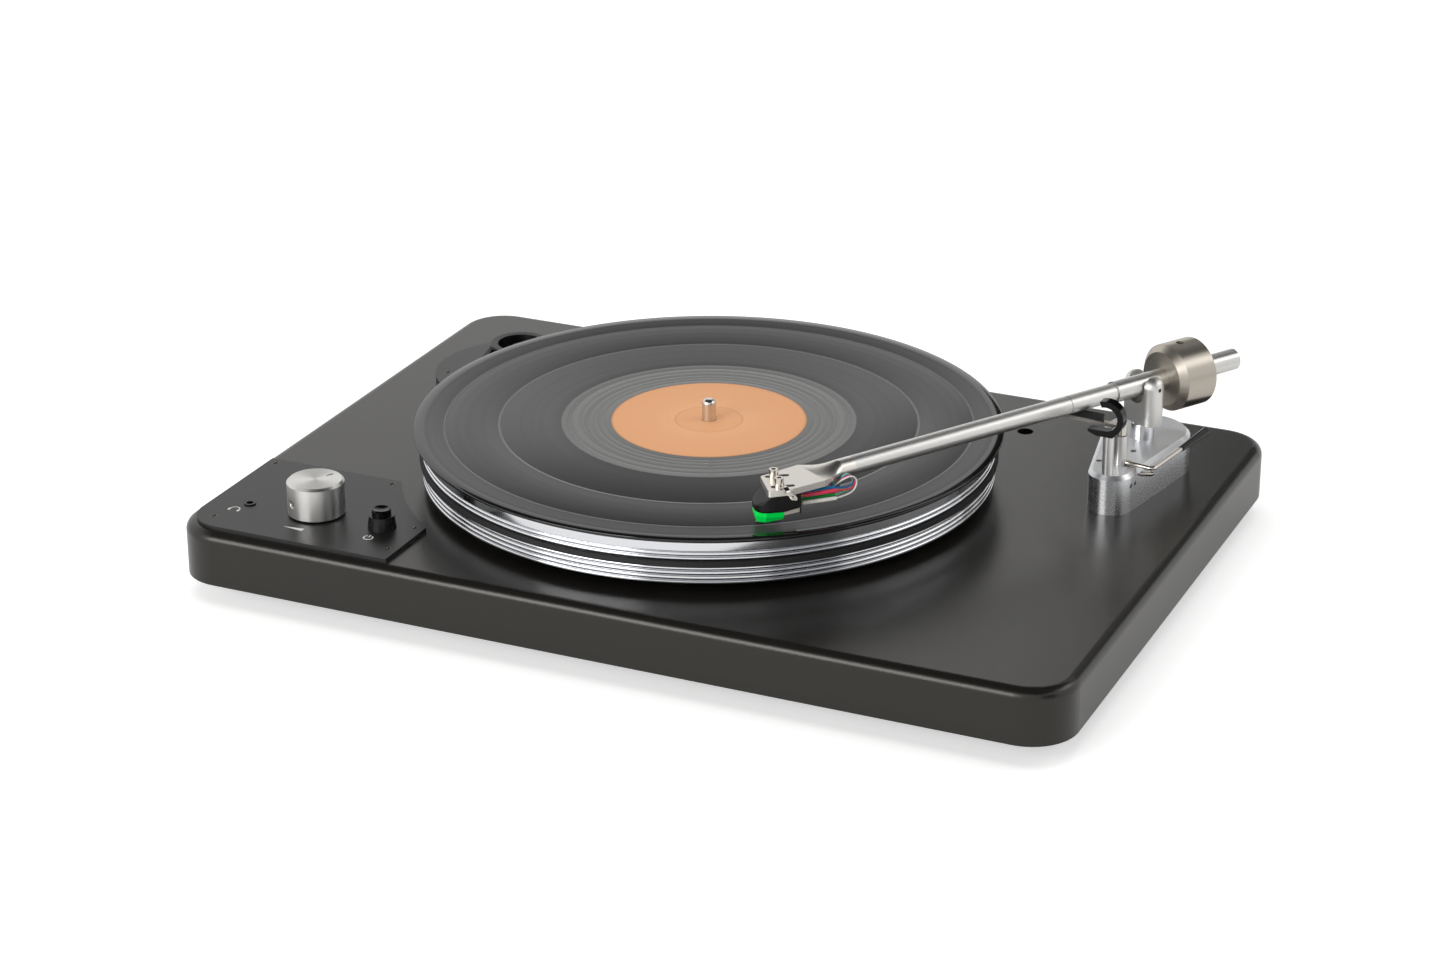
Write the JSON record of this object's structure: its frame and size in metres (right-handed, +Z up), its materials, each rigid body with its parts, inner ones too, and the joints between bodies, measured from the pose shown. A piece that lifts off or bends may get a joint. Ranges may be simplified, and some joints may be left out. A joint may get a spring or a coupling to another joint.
{
  "type": "turntable record player",
  "caption": "Belt-driven turntable with a black plinth, a beaded metal platter carrying a record, a straight tonearm with cueing lever and a corner control panel.",
  "frame": {"origin": "under the middle of the plinth, on the plane that the feet stand on", "axes": "+X to the right along the front edge, +Y to the back, +Z up"},
  "size_m": [0.47, 0.339, 0.1072],
  "materials": {
    "painted_board": "satin black lacquer with a fine grain",
    "black_sheet": "fine texture",
    "black_plate": "satin",
    "black_plastic": "satin",
    "black_rubber": "matte",
    "screw_black": "blackened",
    "steel": "bright",
    "motor_can": "plated",
    "aluminium": "machined satin",
    "polished_aluminium": "polished",
    "stainless": "brushed",
    "bronze": "satin",
    "gilt": "bright",
    "board": "satin",
    "vinyl": "gloss with fine grooves",
    "label_paper": "matte",
    "green_plastic": "translucent",
    "lead_green": "satin",
    "lead_blue": "satin",
    "lead_red": "satin",
    "lead_white": "satin"
  },
  "bodies": {
    "deck": {"plinth": "painted_board", "bottom_cover": "black_sheet", "pan_screws": "steel", "feet": "black_rubber", "control_panel": "black_plate", "countersunk_screws": "screw_black", "volume_pot": "motor_can", "power_switch": "black_plastic", "phones_jack": "black_plastic", "circuit_board": "board", "motor_plate": "black_plate", "motor": "motor_can", "drive_belt": "black_rubber", "bearing_housing": "aluminium", "bearing_bush": "bronze", "thrust_ball": "steel", "rear_panel": "black_sheet", "output_sockets": "gilt", "ground_post": "gilt", "power_inlet": "black_plastic", "tonearm_base": "aluminium", "base_bolts": "steel", "lever_stop": "steel", "arm_pillar": "aluminium", "yaw_bearings": "steel", "arm_rest_post": "aluminium", "arm_rest_clip": "black_plastic", "lift_post": "aluminium"},
    "turning_platter": {"platter": "polished_aluminium", "spindle": "steel", "platter_mat": "black_rubber", "record": "vinyl", "record_label": "label_paper"},
    "pulley": {"motor_pulley": "black_plastic", "motor_shaft": "steel"},
    "knob": {"volume_knob": "aluminium", "pot_shaft": "steel"},
    "button": {"power_button": "black_plastic"},
    "arm_yoke": {"yoke": "aluminium", "yaw_shaft": "steel", "pivot_screws": "steel"},
    "arm": {"arm_tube": "aluminium", "arm_sleeve": "aluminium", "headshell": "aluminium", "cartridge_body": "black_plastic", "cartridge_pins": "gilt", "cartridge_shield": "steel", "stylus_holder": "green_plastic", "cantilever": "aluminium", "finger_lift": "steel", "cartridge_screws": "steel", "lead_green": "lead_green", "lead_blue": "lead_blue", "lead_red": "lead_red", "lead_white": "lead_white"},
    "balance_weight": {"counterweight": "stainless"},
    "lift": {"lift_bar": "aluminium", "lift_pad": "black_rubber"},
    "lever": {"cue_lever": "steel", "cue_handle": "black_plastic"}
  },
  "joints": [
    {"name": "platter_spin", "type": "hinge", "parent": "deck", "child": "turning_platter", "pos_m": [-0.016, 0.001, 0.04], "axis": [0, 0, 1], "continuous": true},
    {"name": "pulley_spin", "type": "hinge", "parent": "deck", "child": "pulley", "pos_m": [-0.16722, 0.08379, 0.04], "axis": [0, 0, 1], "continuous": true},
    {"name": "arm_swing", "type": "hinge", "parent": "deck", "child": "arm_yoke", "pos_m": [0.18693, 0.09029, 0.0897], "axis": [0, 0, 1], "range_deg": [-19, 28.8]},
    {"name": "arm_pitch", "type": "hinge", "parent": "arm_yoke", "child": "arm", "pos_m": [0.18693, 0.09029, 0.0897], "axis": [-0.8554, 0.518, 0], "range_deg": [0, 1.8]},
    {"name": "counterweight_slide", "type": "slide", "parent": "arm", "child": "balance_weight", "axis": [0.518, 0.8554, 0], "range_m": [-0.004, 0.024]},
    {"name": "cue_lever_turn", "type": "hinge", "parent": "deck", "child": "lever", "pos_m": [0.18782, 0.05209, 0.062], "axis": [0.9824, -0.1867, 0], "range_deg": [-18, 0]},
    {"name": "cue_lift", "type": "slide", "parent": "deck", "child": "lift", "axis": [0, 0, 1], "range_m": [0, 0.0011]},
    {"name": "volume_turn", "type": "hinge", "parent": "deck", "child": "knob", "pos_m": [-0.173, -0.1284, 0.04], "axis": [0, 0, 1], "range_deg": [-150, 150]},
    {"name": "power_press", "type": "slide", "parent": "deck", "child": "button", "axis": [0, 0, -1], "range_m": [0, 0.0018], "stiffness_N_per_m": 1200}
  ],
  "couplings": [
    {"joint": "pulley_spin", "follows": "platter_spin", "ratio": 9.8133},
    {"joint": "arm_pitch", "follows": "cue_lever_turn", "ratio": -0.1},
    {"joint": "cue_lift", "follows": "cue_lever_turn", "m_per_rad": -0.0035014}
  ]
}
